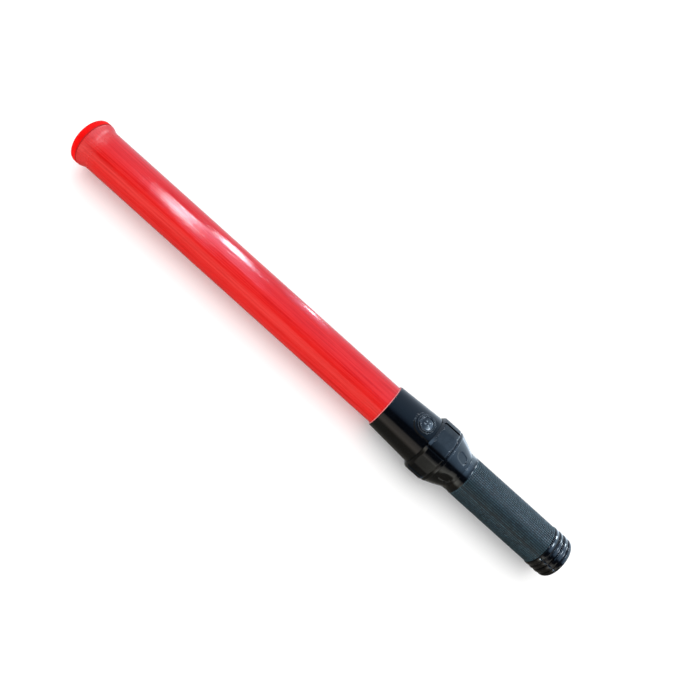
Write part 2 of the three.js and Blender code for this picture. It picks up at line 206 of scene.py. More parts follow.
def refined(profile, step, closed=True):
    """The profile with its long stretches divided, so that a shape can be pressed into them."""
    made = []
    count = len(profile)
    for i in range(count if closed else count - 1):
        a, b = profile[i], profile[(i + 1) % count]
        parts = max(1, math.ceil(np.linalg.norm(b - a) / step))
        made.extend(a + (b - a) * k / parts for k in range(parts))
    if not closed:
        made.append(profile[-1])
    return np.array(made)


def level(stations, radius):
    """Profile points at one radius."""
    return np.stack([stations, np.full(len(stations), radius)], axis=1)


# ---------------------------------------------------------------- meshes

SMOOTH_BELOW = math.radians(38)


def piece(name, points, faces, material, body="baton", stands_for=(), slot=None):
    """A mesh in the row frame that rides on a CAD body; its points are in metres."""
    mesh = bpy.data.meshes.new(name)
    mesh.from_pydata(points.reshape(-1, 3).tolist(), [], faces)
    work = bmesh.new()
    work.from_mesh(mesh)
    bmesh.ops.remove_doubles(work, verts=work.verts, dist=1e-7)
    if work.calc_volume(signed=True) < 0:
        bmesh.ops.reverse_faces(work, faces=work.faces)
    work.to_mesh(mesh)
    work.free()
    mesh.shade_smooth()
    mesh.set_sharp_from_angle(angle=SMOOTH_BELOW)
    mesh.materials.append(material)
    made = bpy.data.objects.new(name, mesh)
    bpy.context.scene.collection.objects.link(made)
    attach(made, body)
    if stands_for:
        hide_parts(*stands_for)
    return made


def grid_faces(rows, cols, closed_rows):
    last_row = rows if closed_rows else rows - 1
    faces = []
    for i in range(last_row):
        a, b = i * cols, ((i + 1) % rows) * cols
        for j in range(cols):
            k = (j + 1) % cols
            faces.append((a + j, a + k, b + k, b + j))
    return faces


def lathe(name, profile, angles, material, shape=None, closed=True, **facts):
    """A profile of (station, radius) turned about the baton's axis; shape(s, r, a) may change
    the radius where the piece isn't round. An open profile starts and ends on the axis."""
    s = np.repeat(profile[:, 0][:, None], len(angles), axis=1)
    r = np.repeat(profile[:, 1][:, None], len(angles), axis=1)
    a = np.repeat(np.asarray(angles)[None, :], len(profile), axis=0)
    if shape:
        r = shape(s, r, a)
    turned = np.radians(a)
    points = np.stack(
        [TAIL + s * MM, r * np.sin(turned) * MM, AXIS + r * np.cos(turned) * MM], axis=-1)
    faces = grid_faces(len(profile), len(angles), closed)
    return piece(name, points, faces, material, **facts)


def upright(name, profile, material, count=96, at=(0, 0), shape=None, closed=True, **facts):
    """A profile of (radius, height over the axis) turned about a vertical line through the
    station and y in at; shape(r, z, dx, dy) may change the height."""
    turned = np.radians(evenly(count))
    r = np.repeat(profile[:, 0][:, None], count, axis=1)
    z = np.repeat(profile[:, 1][:, None], count, axis=1)
    dx, dy = r * np.cos(turned), r * np.sin(turned)
    if shape:
        z = shape(r, z, dx, dy)
    points = np.stack([TAIL + (at[0] + dx) * MM, (at[1] + dy) * MM, AXIS + z * MM], axis=-1)
    return piece(name, points, grid_faces(len(profile), count, closed), material, **facts)


def swept(name, path, radius, material, sides=12, **facts):
    """A round wire along path, an array of (station, y, height over the axis)."""
    ahead = np.gradient(path, axis=0)
    ahead /= np.linalg.norm(ahead, axis=1)[:, None]
    side = np.cross(ahead[0], [0.37, 0.51, 0.77])
    rings = []
    for point, along in zip(path, ahead):
        side = side - along * (side @ along)
        side /= np.linalg.norm(side)
        up = np.cross(along, side)
        turned = np.radians(evenly(sides))[:, None]
        rings.append(point + radius * (np.cos(turned) * side + np.sin(turned) * up))
    first, last = (np.repeat(end, sides, axis=0) for end in (path[:1], path[-1:]))
    rings = np.array([first, *rings, last])
    points = rings * MM + np.array([TAIL, 0, AXIS])
    return piece(name, points, grid_faces(len(rings), sides, False), material, **facts)


def carve(target, cutter):
    """Takes cutter's shape out of target, and removes cutter."""
    cut = target.modifiers.new("cut", "BOOLEAN")
    cut.operation = "DIFFERENCE"
    cut.solver = "EXACT"
    cut.object = cutter
    bpy.context.view_layer.update()
    evaluated = target.evaluated_get(bpy.context.evaluated_depsgraph_get())
    carved = bpy.data.meshes.new_from_object(evaluated)
    target.modifiers.clear()
    target.data = carved
    carved.shade_smooth()
    carved.set_sharp_from_angle(angle=SMOOTH_BELOW)
    bpy.data.objects.remove(cutter)


# ---------------------------------------------------------------- materials


def srgb(red, green, blue):
    """A linear colour from 8-bit sRGB values."""
    values = [v / 255 for v in (red, green, blue)]
    return (*[v / 12.92 if v <= 0.04045 else ((v + 0.055) / 1.055) ** 2.4 for v in values], 1)


def add_node(tree, kind, **settings):
    made = tree.nodes.new(kind)
    for key, value in settings.items():
        setattr(made, key, value)
    return made


NOISE_ROUGHNESS = 0.55
EDGE_FROM, EDGE_FULL = 0.515, 0.58  # pointiness at which an edge starts to lighten, and is fully lightened: rubbed wear, and on the button and the knurl a painted highlight
DULL_FLARE = {"from": 16, "to": 2, "rough": 0.26}  # millimetres before the tube's flare


class Finish:
    """A material under construction: a Principled shader and the nodes that feed it."""

    def __init__(self, name, **sockets):
        self.material = bpy.data.materials.new(name)
        self.material.use_nodes = True
        self.tree = self.material.node_tree
        self.shader = self.tree.nodes["Principled BSDF"]
        self.place = self.node("ShaderNodeTexCoord").outputs["Object"]
        for socket, value in sockets.items():
            self.shader.inputs[socket.replace("_", " ")].default_value = value

    def node(self, kind, **settings):
        return add_node(self.tree, kind, **settings)

    def link(self, source, target):
        self.tree.links.new(source, target)

    def noise(self, size_mm, detail=3.0, stretch=1.0, seed=0.0):
        """Noise with features of about size_mm, longer along the baton by stretch."""
        mapping = self.node("ShaderNodeMapping")
        scale = 1 / (size_mm * MM)
        mapping.inputs["Scale"].default_value = (scale / stretch, scale, scale)
        mapping.inputs["Location"].default_value = (seed, seed * 0.7, seed * 1.3)
        texture = self.node("ShaderNodeTexNoise")
        texture.inputs["Scale"].default_value = 1.0
        texture.inputs["Detail"].default_value = detail
        texture.inputs["Roughness"].default_value = NOISE_ROUGHNESS
        self.link(self.place, mapping.inputs["Vector"])
        self.link(mapping.outputs["Vector"], texture.inputs["Vector"])
        return texture.outputs["Fac"]

    def ranged(self, value, low, high, to_low, to_high):
        mapped = self.node("ShaderNodeMapRange", interpolation_type="SMOOTHSTEP")
        limits = {"From Min": low, "From Max": high, "To Min": to_low, "To Max": to_high}
        for socket, number in limits.items():
            mapped.inputs[socket].default_value = number
        self.link(value, mapped.inputs["Value"])
        return mapped.outputs["Result"]

    def mix(self, share, first, second):
        """A colour between two, each a constant or another node's output."""
        mixed = self.node("ShaderNodeMix", data_type="RGBA")
        self.link(share, mixed.inputs["Factor"])
        inputs = [i for i in mixed.inputs if i.type == "RGBA"]
        for socket, colour in zip(inputs, (first, second)):
            if isinstance(colour, tuple):
                socket.default_value = colour
            else:
                self.link(colour, socket)
        return next(o for o in mixed.outputs if o.type == "RGBA")

    def colour(self, source):
        self.link(source, self.shader.inputs["Base Color"])

    def rough(self, value, low, high):
        self.link(self.ranged(value, 0.3, 0.7, low, high), self.shader.inputs["Roughness"])

    def edge_wear_and_highlight(self, colour, lighter, amount=0.6):
        """colour, lighter along outside edges: rubbed wear, and on the button and the knurl tops a painted
        highlight.
        """
        pointiness = self.node("ShaderNodeNewGeometry").outputs["Pointiness"]
        edge = self.ranged(pointiness, EDGE_FROM, EDGE_FULL, 0, amount)
        edge_lightening = self.node("ShaderNodeMath", operation="MULTIPLY")
        self.link(edge, edge_lightening.inputs[0])
        self.link(self.ranged(self.noise(2.2, seed=5), 0.35, 0.65, 0.2, 1), edge_lightening.inputs[1])
        return self.mix(edge_lightening.outputs["Value"], colour, lighter)

    def bumps(self, *layers):
        """Bump layers of (noise, height in millimetres), one on top of the other."""
        normal = None
        for value, height in layers:
            bump = self.node("ShaderNodeBump")
            bump.inputs["Strength"].default_value = 1.0
            bump.inputs["Distance"].default_value = height * MM
            self.link(value, bump.inputs["Height"])
            if normal:
                self.link(normal, bump.inputs["Normal"])
            normal = bump.outputs["Normal"]
        self.link(normal, self.shader.inputs["Normal"])


def moulded(name, colour, second, rough, patch=18, wear_and_highlight=None, grain=(0.5, 0.004), wave=None,
            **sockets):
    """Injection-moulded plastic: cloudy colour, uneven gloss, fine grain and lighter edges, rubbed, and on
    the button a painted highlight.
    """
    finish = Finish(name, **sockets)
    base = finish.mix(finish.ranged(finish.noise(patch), 0.35, 0.65, 0, 1), colour, second)
    finish.colour(finish.edge_wear_and_highlight(base, wear_and_highlight) if wear_and_highlight else base)
    finish.rough(finish.noise(patch * 0.6, seed=3), *rough)
    layers = [(finish.noise(grain[0], detail=2, seed=7), grain[1])]
    if wave:
        layers.insert(0, (finish.noise(wave[0], detail=1, seed=11), wave[1]))
    finish.bumps(*layers)
    return finish.material


def metal(name, colour, second, rough, brushed=1.0):
    """Metal sheet or wire, with drawn or rolled streaks and a slightly tarnished colour."""
    finish = Finish(name, Metallic=1.0)
    finish.colour(finish.mix(finish.ranged(finish.noise(4), 0.35, 0.7, 0, 1), colour, second))
    finish.rough(finish.noise(0.6, stretch=brushed, seed=2), *rough)
    finish.bumps((finish.noise(0.3, stretch=brushed, detail=2, seed=9), 0.003))
    return finish.material


def tube_red():
    """The light tube: glossy red with lengthwise flow lines, a cloudy depth and a duller flare."""
    finish = Finish("tube_red", IOR=1.5)
    streaks = finish.ranged(finish.noise(1.3, stretch=70, detail=2, seed=4), 0.35, 0.65, 0, 1)
    clouds = finish.ranged(finish.noise(9, stretch=2.5, detail=4), 0.3, 0.7, 0, 1)
    base = finish.mix(clouds, (0.51, 0.0050, 0.0050, 1), (0.58, 0.0095, 0.0085, 1))
    finish.colour(finish.mix(streaks, base, (0.63, 0.018, 0.017, 1)))
    gloss = finish.ranged(finish.noise(3, stretch=25, seed=6), 0.3, 0.7, 0.04, 0.10)
    along = finish.node("ShaderNodeSeparateXYZ")
    finish.link(finish.place, along.inputs["Vector"])
    flare_at = TAIL + FLARE_START * MM
    flare = finish.ranged(along.outputs["X"], flare_at - DULL_FLARE["from"] * MM,
                          flare_at - DULL_FLARE["to"] * MM, 0, DULL_FLARE["rough"])
    total = finish.node("ShaderNodeMath", operation="ADD")
    finish.link(gloss, total.inputs[0])
    finish.link(flare, total.inputs[1])
    finish.link(total.outputs["Value"], finish.shader.inputs["Roughness"])
    finish.bumps(
        (finish.noise(0.6, stretch=24, detail=2, seed=8), 0.050),
        (finish.noise(14, stretch=3, detail=2, seed=12), 0.030),
        (finish.noise(0.4, detail=2, seed=13), 0.0015))
    return finish.material


def knurled_grip():
    """Satin grip plastic: a painted highlight on the knurl's tops, painted shade in its valleys."""
    finish = Finish("handle_plastic_grip", IOR=1.5, Specular_IOR_Level=0.6)
    base = finish.mix(finish.ranged(finish.noise(12), 0.35, 0.65, 0, 1),
                      (0.0003, 0.0045, 0.0068, 1), (0.0006, 0.0068, 0.0100, 1))
    # the pale bluish knurl tops are a painted highlight; the dark base left in the valleys is painted shade
    finish.colour(finish.edge_wear_and_highlight(base, (0.024, 0.072, 0.094, 1), 1.0))
    finish.rough(finish.noise(5, seed=3), 0.46, 0.58)
    finish.bumps((finish.noise(0.35, detail=2, seed=7), 0.010))
    return finish.material


def leads(name, colour, second):
    """Soft wire insulation."""
    return moulded(name, colour, second, (0.35, 0.5), patch=3, grain=(0.25, 0.004))


BLACK, BLACK_TOO = (0.0007, 0.0010, 0.0018, 1), (0.0012, 0.0017, 0.0028, 1)
BLACK_WORN = (0.010, 0.013, 0.016, 1)

MATERIAL = {
    "head_plastic": moulded("head_plastic", BLACK, BLACK_TOO, (0.06, 0.12), wear_and_highlight=BLACK_WORN,
                            grain=(0.7, 0.0015), wave=(9, 0.02), IOR=1.5),
    "handle_plastic": moulded("handle_plastic", BLACK, BLACK_TOO, (0.08, 0.15), wear_and_highlight=BLACK_WORN,
                              grain=(0.6, 0.003), wave=(7, 0.03), IOR=1.5),
    "handle_plastic_grip": knurled_grip(),
    "cap_plastic": moulded("cap_plastic", BLACK, BLACK_TOO, (0.10, 0.18), wear_and_highlight=BLACK_WORN,
                           grain=(0.5, 0.004), wave=(4, 0.04), IOR=1.5),
    # the button's pale edge colour paints the highlights along its rims, besides rubbed wear
    "button_plastic": moulded("button_plastic", (0.0050, 0.0080, 0.0125, 1),
                              (0.0085, 0.0125, 0.0180, 1), (0.16, 0.26), patch=4,
                              wear_and_highlight=(0.10, 0.12, 0.14, 1), grain=(0.3, 0.003), IOR=1.5),
    # the pale dots are a painted highlight standing in for the glints on them
    "button_dots_painted_glint": moulded("button_dots_painted_glint", (0.115, 0.150, 0.190, 1), (0.150, 0.190, 0.230, 1),
                           (0.14, 0.24), patch=1.5, grain=(0.25, 0.003), IOR=1.5),
    "tube_red": tube_red(),
    "liner_red": moulded("liner_red", srgb(205, 40, 38), srgb(222, 62, 58), (0.35, 0.5), patch=6),
    "top_red": moulded("top_red", (0.66, 0.0, 0.0, 1), (0.80, 0.001, 0.001, 1), (0.38, 0.52),
                       patch=7, grain=(0.5, 0.003), wave=(5, 0.03), Specular_IOR_Level=0.05),
    "seal_rubber": moulded("seal_rubber", (0.010, 0.010, 0.010, 1), (0.020, 0.019, 0.018, 1),
                           (0.55, 0.75), patch=3, grain=(0.2, 0.01)),
    "gasket_red": moulded("gasket_red", (0.40, 0.003, 0.003, 1), (0.48, 0.004, 0.004, 1),
                          (0.5, 0.7), patch=3, grain=(0.2, 0.01), Specular_IOR_Level=0.2),
    # the seat ring is real; its pale pink is a painted highlight along the head's front edge
    "seat_clear": moulded("seat_clear", srgb(214, 104, 106), srgb(230, 136, 136), (0.2, 0.35),
                          patch=3, grain=(0.3, 0.003)),
    "inner_grey": moulded("inner_grey", srgb(84, 87, 89), srgb(98, 100, 101), (0.4, 0.55),
                          patch=8, wear_and_highlight=srgb(140, 142, 142)),
    "inner_white": moulded("inner_white", srgb(226, 223, 214), srgb(238, 236, 229), (0.35, 0.5),
                           patch=8, wear_and_highlight=srgb(250, 249, 245)),
    "board_green": moulded("board_green", srgb(24, 92, 48), srgb(36, 116, 62), (0.25, 0.45),
                           patch=2.5, wear_and_highlight=srgb(190, 180, 120), grain=(0.4, 0.012)),
    "chip_black": moulded("chip_black", srgb(24, 24, 26), srgb(36, 36, 38), (0.45, 0.6),
                          patch=1.5, grain=(0.15, 0.01)),
    "sleeve_blue": moulded("sleeve_blue", srgb(36, 56, 140), srgb(46, 68, 158), (0.2, 0.34),
                           patch=12, grain=(1.5, 0.02), wave=(6, 0.08)),
    "led_lens": moulded("led_lens", srgb(240, 214, 206), srgb(250, 232, 226), (0.06, 0.16),
                        patch=1.5, Coat_Weight=0.6, Coat_Roughness=0.04),
    "cell_can": metal("cell_can", (0.62, 0.63, 0.65, 1), (0.74, 0.75, 0.76, 1), (0.22, 0.38)),
    "brass_strip": metal("brass_strip", (0.60, 0.42, 0.14, 1), (0.76, 0.56, 0.24, 1), (0.24, 0.42), 12),
    "spring_steel": metal("spring_steel", (0.50, 0.51, 0.53, 1), (0.66, 0.67, 0.69, 1), (0.2, 0.4), 3),
    "lead_red": leads("lead_red", srgb(176, 22, 20), srgb(198, 34, 30)),
    "lead_black": leads("lead_black", srgb(18, 18, 19), srgb(30, 30, 31)),
}

# CAD nodes whose shape is right keep it, and take a finish
CARRIED = {
    "inner_grey": ["switch_body", "chassis"],
    "inner_white": ["resistor", "contact_insulator", "strip_socket", "strip_spider"],
    "board_green": ["control_board", "led_board"],
    "chip_black": ["driver_chip"],
    "led_lens": [f"led_{side}_{i}" for side in ("upper", "lower") for i in range(1, 6)],
    "brass_strip": ["ground_strip"],
    "spring_steel": ["tail_contact_disc"],
    "lead_red": ["lead_positive", "strip_lead_positive"],
    "lead_black": ["lead_negative", "strip_lead_negative"],
}
for finish_name, nodes in CARRIED.items():
    for node_name in nodes:
        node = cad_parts[node_name]
        node.data.materials.clear()
        node.data.materials.append(MATERIAL[finish_name])

# ---------------------------------------------------------------- tail cap


def helix_distance(s, a, turns_before, turns_after):
    """Distance along the axis from (s, a) to the thread's centre line, and how far inside its
    length that point is, as a share that fades over the last tenth of a turn."""
    around = ((90 - a) % 360) / 360
    best = np.full(np.shape(s), 99.0)
    share = np.zeros(np.shape(s))
    for k in range(-3, 4):
        turns = around + k
        along = THREAD["from"] + THREAD["pitch"] * turns
        distance = np.abs(s - along)
        fade = smoothstep(-turns_before, -turns_before + 0.1, turns) * (
            1 - smoothstep(turns_after - 0.1, turns_after, turns))
        nearer = (distance < best) & (fade > 0)
        best = np.where(nearer, distance, best)
        share = np.where(nearer, fade, share)
    return best, share


def notched(s, r, a):
    """The line-up notch, which crosses the tail cap and the handle's end ring."""
    off_centre = np.abs(from_nearest(a, 1, NOTCH["angle"])) * np.pi / 180 * BAND
    inside = np.clip(1.25 * (1 - off_centre / NOTCH["half"]), 0, 1)
    floor = BAND - NOTCH["depth"]
    return np.where((r > floor) & (s < GRIP_START - 0.05), r + (floor - r) * inside, r)


def cap_shape(s, r, a):
    distance, share = helix_distance(s, a, 0.0, THREAD["turns"])
    half = THREAD["half"]
    ridge = share * half * (1 - smoothstep(half * 0.7, half * 1.1, distance))
    on_spigot = (s > CAP_END) & (np.abs(r - THREAD["root"]) < 0.01)
    return notched(s, np.where(on_spigot, r + ridge, r), a)


beside = np.array([0.8, 1, 1.2, 1.4, 1.6, 1.8, 2.2, 3])
notch_columns = NOTCH["angle"] + np.concatenate([-beside, [0], beside])
groove_floor = BAND - 1.5
cap_profile = rounded([
    (3, 0, 0), (3, 15.2, 0.5), (CAP_DEPTH, 15.2, 0.3), (CAP_DEPTH, 16.8, 0.2), (23.9, THREAD["root"], 0),
    (CAP_END, THREAD["root"], 0), (CAP_END, 17.7, 0), (14.4, 17.7, 0), (14.4, 19.0, 0), (14.95, 19.0, 0.1),
    (14.7, 19.35, 0.3), (13.9, 19.7, 0.9), (13.0, BAND, 2.0), (12.1, 19.7, 0.9), (11.4, 19.35, 0.3),
    (10.95, groove_floor, 0.15), (10.45, groove_floor, 0.15), (10.0, 19.30, 0.3), (9.2, 19.68, 0.9),
    (8.05, BAND - 0.02, 2.0), (6.9, 19.66, 0.9), (6.1, 19.25, 0.3), (5.65, groove_floor, 0.15),
    (5.15, groove_floor, 0.15), (4.7, 19.05, 0.3), (3.9, 19.35, 0.8), (2.9, 19.2, 1.2), (1.7, 18.55, 0.9),
    (0.45, 17.3, 0.6), (0, 16.2, 0.5), (0, 13.2, 0.15), (0.35, 12.7, 0.15), (0.35, 0, 0),
], closed=False)
lathe("tail_cap_body", refined(cap_profile, 0.35, closed=False), columns(240, notch_columns),
      MATERIAL["cap_plastic"], cap_shape, closed=False, body="cap", stands_for=["tail_cap"],
      slot="cap_plastic")


def ring_profile(s, r, thick, count=14):
    turned = np.radians(evenly(count))
    return np.stack([s + thick * np.cos(turned), r + thick * np.sin(turned)], axis=1)


lathe("tail_seal", ring_profile(14.92, 18.35, 0.42), evenly(120), MATERIAL["seal_rubber"],
      body="cap_carrier", stands_for=["tail_o_ring"], slot="seal_rubber")

TAIL_SPRING = {"turns": 4, "wide": 11.5, "narrow": 7.5, "foot": 5.0, "pitch": 4.75, "wire": 0.7}
turns = np.linspace(0, TAIL_SPRING["turns"], TAIL_SPRING["turns"] * 40 + 1)
narrowing = TAIL_SPRING["narrow"] - TAIL_SPRING["wide"]
coil_radius = TAIL_SPRING["wide"] + narrowing * turns / TAIL_SPRING["turns"]
coil = np.stack([
    TAIL_SPRING["foot"] + TAIL_SPRING["pitch"] * turns,
    coil_radius * np.cos(2 * np.pi * turns),
    coil_radius * np.sin(2 * np.pi * turns),
], axis=1)
swept("tail_coil", coil, TAIL_SPRING["wire"], MATERIAL["spring_steel"], body="cap_carrier",
      stands_for=["tail_spring"], slot="spring_steel")
lathe("tail_rivet_head", rounded([
    (1.6, 0, 0), (1.6, 2, 0.2), (4.1, 2, 0.1), (4.1, 3.6, 0.3), (4.6, 3.2, 0.4), (4.9, 1.4, 0.6), (4.9, 0, 0),
], closed=False), evenly(48), MATERIAL["spring_steel"], closed=False, body="cap", stands_for=["tail_rivet"],
      slot="spring_steel")

# ---------------------------------------------------------------- handle


def block(cell, valley, slope):
    """Height of one knurl block across its cell, 0 in the valleys and 1 on the top."""
    u = cell % 1
    return np.clip((np.minimum(u, 1 - u) - valley) / slope, 0, 1)


knurl_pitch = (GRIP_END - GRIP_START) / KNURL["along"]


def grip_shape(s, r, a):
    """Knurled outside, and the thread's groove in the mouth of the bore."""
    crosswise = 1 - KNURL["cross"] * (1 - block((s - GRIP_START) / knurl_pitch, 0, 0.2))
    height = crosswise * block(a * KNURL["around"] / 360, 0.10, 0.18)
    knurled = (np.abs(r - GRIP) < 0.01) & (s > GRIP_START - 0.01)
    r = np.where(knurled, r - KNURL["depth"] * (1 - height), r)
    distance, share = helix_distance(s, a, GROOVE["lead"], THREAD["turns"] + GROOVE["spare"])
    half = GROOVE["half"]
    cut = share * (GROOVE["top"] - BORE) * (1 - smoothstep(half * 0.85, half * 1.05, distance))
    r = np.where(np.abs(r - BORE) < 0.01, r + cut, r)
    return notched(s, r, a)


cells = np.arange(KNURL["along"])[:, None] + np.array([0, 0.2, 0.8])
knurl_rows = np.append(GRIP_START + knurl_pitch * cells.ravel(), GRIP_END)
mouth_rows = np.arange(26.0, 16.2, -0.3)
grip_profile = np.concatenate([
    rounded([(16.2, BORE, 0), (HANDLE_START, 17.9, 0.15), (HANDLE_START, 18.9, 0.2), (15.9, 19.45, 0.4),
             (16.7, 19.75, 1.0), (17.8, BAND, 2.0), (18.9, 19.75, 1.0), (19.75, 19.4, 0.4),
             (GRIP_START, GRIP - 0.5, 0.1)], closed=False, steps=5),
    level(knurl_rows, GRIP),
    np.array([[GRIP_END, GRIP - 0.6], [GRIP_END, BORE], [60.0, BORE]]),
    level(mouth_rows, BORE),
])
cuts = np.array([0.10, 0.28, 0.72, 0.90])
across = (np.arange(KNURL["around"])[:, None] + cuts).ravel() * 360 / KNURL["around"]
grip = lathe("handle_grip", grip_profile, columns(1, across, notch_columns),
             MATERIAL["handle_plastic_grip"], grip_shape, stands_for=["handle_body"],
             slot="handle_plastic")
grip.data.materials.append(MATERIAL["handle_plastic"])  # the end ring is gloss black
for face in grip.data.polygons:
    if station(face.center.x) < GRIP_START - 0.05:
        face.material_index = 1


def flute_share(s, a, cone):
    """1 in the flutes on the cone and 0 outside them."""
    across = np.radians(from_nearest(a, PANELS)) * cone
    first, last = FLUTE["from"] + FLUTE["half"], FLUTE["to"] - FLUTE["half"]
    along = s - np.clip(s, first, max(first, last))
    distance = np.hypot(along, across) - FLUTE["half"]
    return 1 - smoothstep(-FLUTE["edge"], 0.1, distance)


def collar_shape(s, r, a):
    """Panels with gaps between them on the collar, and flutes on the cone."""
    off_centre = from_nearest(a, PANELS)
    flat = PANEL_FLAT / np.cos(np.radians(off_centre))
    barrel = np.full(np.shape(s), PANEL_CORNER)
    front = PANEL_CORNER - (s - PANEL["front"])
    rear = PANEL_CORNER - 1 + (s - COLLAR_START)
    barrel = soft_min(soft_min(barrel, front, PANEL["bevel"]), rear, PANEL["bevel"])
    panel = soft_min(flat, barrel, PANEL["edge"])
    floor = np.full(np.shape(s), GAP_FLOOR)
    floor = soft_min(floor, GAP["lip"] + GAP["slope"] * (HANDLE_END - s), 0.2)
    share = 1 - smoothstep(GAP["from"], GAP["to"], np.abs(off_centre))
    on_collar = (np.abs(r - PANEL_CORNER) < 0.01) & (s > COLLAR_START - 0.01)
    r = np.where(on_collar, floor + (panel - floor) * share, r)
    on_cone = (s > CONE_START) & (s < CONE_END) & (r > NECK + 0.005)
    bottom = (r - FLUTE["depth"]) / np.cos(np.radians(np.clip(off_centre, -14, 14)))
    return np.where(on_cone, r + (np.minimum(bottom, r) - r) * flute_share(s, a, r), r)


cone = refined(rounded([
    (CONE_START, NECK, 0), (116.7, 19.5, 2.0), (CONE_END - 8, 22.8, 6.0), (CONE_END, 26.0, 0.3),
], closed=False), 0.35, closed=False)
collar_rows = np.concatenate([
    np.arange(COLLAR_START, 136.4, 0.2), np.arange(137, 149.5, 1.5),
    np.arange(150, HANDLE_END, 0.22), [HANDLE_END]])
ridge = NECK + 0.18
collar_profile = np.concatenate([
    rounded([
        (GRIP_END, BORE, 0), (GRIP_END, ridge, 0.12), (108.5, ridge, 0.15), (108.8, NECK, 0.15),
        (113.7, NECK, 0.15), (114.0, ridge, 0.12), (114.25, ridge, 0.1),
    ], closed=False, steps=3),
    cone,
    rounded([
        (CONE_END, 26.0, 0), (CONE_END + 0.3, RING, 0.5), (RING_END, RING, 0.7),
        (RING_END + 0.1, 25.9, 0.1), (COLLAR_START - 0.1, 25.9, 0.1),
        (COLLAR_START - 0.02, 26.0, 0)], closed=False, steps=4)[1:],
    level(collar_rows, PANEL_CORNER),
    np.array([[HANDLE_END, SOCKET + 0.3], [HANDLE_END - 0.3, SOCKET], [141.0, SOCKET], [141.0, BORE]]),
])
wall = np.array([26.4, 26.8, 27.0, 27.2, 27.35, 27.5, 27.65, 27.8, 27.95, 28.2, 28.6])
centres = evenly(PANELS)[:, None]
walls = np.concatenate([centres + wall, centres - wall]).ravel()
lathe("handle_collar", collar_profile, columns(288, walls), MATERIAL["handle_plastic"],
      collar_shape, stands_for=["handle_body"], slot="handle_plastic")

# ---------------------------------------------------------------- head


def head_radius(s):
    return HEAD_FRONT + (HEAD_REAR - HEAD_FRONT) * (HEAD_END - s) / (HEAD_END - HANDLE_END)


def pad_share(s, a):
    """1 on the raised pad: an arch about the button whose sides run back to the collar."""
    across = np.radians(from_nearest(a, 1)) * head_radius(s)
    ahead = np.maximum(s - BUTTON, 0)
    distance = np.hypot(ahead, across) - PAD["half"]
    return 1 - smoothstep(-PAD["edge"] / 2, PAD["edge"] / 2, distance)


def head_shape(s, r, a):
    outside = (s >= HEAD_START - 0.01) & (r > head_radius(s) - 0.02)
    return np.where(outside, r + PAD["rise"] * pad_share(s, a), r)


pad_rows = np.arange(HEAD_START, BUTTON + PAD["half"] + 1.2, 0.22)
front_rows = np.linspace(pad_rows[-1] + 1.0, HEAD_END - 1.2, 12)
outside_rows = np.concatenate([pad_rows, front_rows])
head_profile = np.concatenate([
    np.array([[HEAD_INNER_START, HEAD_BORE], [HEAD_INNER_START, SPIGOT - 0.1],
              [HEAD_INNER_START + 0.1, SPIGOT], [146.4, SPIGOT], [146.4, 21.9], [148.0, 21.9],
              [148.0, SPIGOT], [HEAD_START, SPIGOT]]),
    np.stack([outside_rows, head_radius(outside_rows)], axis=1),
    rounded([(HEAD_END - 1.0, head_radius(HEAD_END - 1.0), 0),
             (HEAD_END - 0.35, head_radius(HEAD_END - 0.35), 0.5),
             (HEAD_END, HEAD_FRONT - 0.45, 0.3), (HEAD_END, TUBE + 0.15, 0)],
            closed=False, steps=5),
    np.array([[TUBE_FOOT - 0.3, TUBE + 0.15], [TUBE_FOOT - 0.3, 16.6], [184.6, 16.6],
              [184.6, HEAD_BORE]]),
])
head = lathe("head_shell", head_profile, columns(120, np.arange(-28, 28, 0.5)),
             MATERIAL["head_plastic"], head_shape, stands_for=["head_housing"],
             slot="head_plastic")
ABOVE_HEAD = 30.0
for cutter_name, radius, foot in (("bore", 7.4, 10.0), ("seat", 8.7, 23.0)):
    outline = np.array([[0, foot], [radius, foot], [radius, ABOVE_HEAD], [0, ABOVE_HEAD]])
    carve(head, upright(cutter_name, outline, MATERIAL["head_plastic"], at=(BUTTON, 0), closed=False))

lathe("head_seal", ring_profile(147.2, 22.38, 0.44), evenly(120), MATERIAL["seal_rubber"],
      stands_for=["head_o_ring"], slot="seal_rubber")
# the seat ring's pale pink finish is a painted highlight along the head's front edge
lathe("tube_seat", rounded([
    (HEAD_END + 0.15, TUBE + 0.1, 0), (HEAD_END + 0.75, TUBE + 0.1, 0), (HEAD_END + 0.75, 20.45, 0.2),
    (HEAD_END + 0.45, 20.7, 0.2), (HEAD_END + 0.15, 20.7, 0.1)]), evenly(180), MATERIAL["seat_clear"],
      stands_for=["tube_seat_ring"], slot="seat_clear")

# ---------------------------------------------------------------- push button

upright("button_collar", rounded([
    (7.5, 23.3, 0.05), (8.45, 23.3, 0.05), (8.45, 24.7, 0.15), (8.15, 25.1, 0.35), (7.5, 25.1, 0.25)]),
        MATERIAL["button_plastic"], at=(BUTTON, 0), stands_for=["button_ring"], slot="head_plastic")


def dot_distance(dx, dy):
    """Distance from the nearest dot's centre."""
    ring = DOT["ring"]
    across = [np.hypot(dx - ring * np.cos(a), dy - ring * np.sin(a)) for a in DOT_ANGLES]
    return np.min(across, axis=0)


def dotted(r, z, dx, dy):
    """Four raised dots on the button's dome."""
    share = 1 - smoothstep(DOT["top"], DOT["foot"], dot_distance(dx, dy))
    return np.where(z > 25, z + DOT["height"] * share, z)


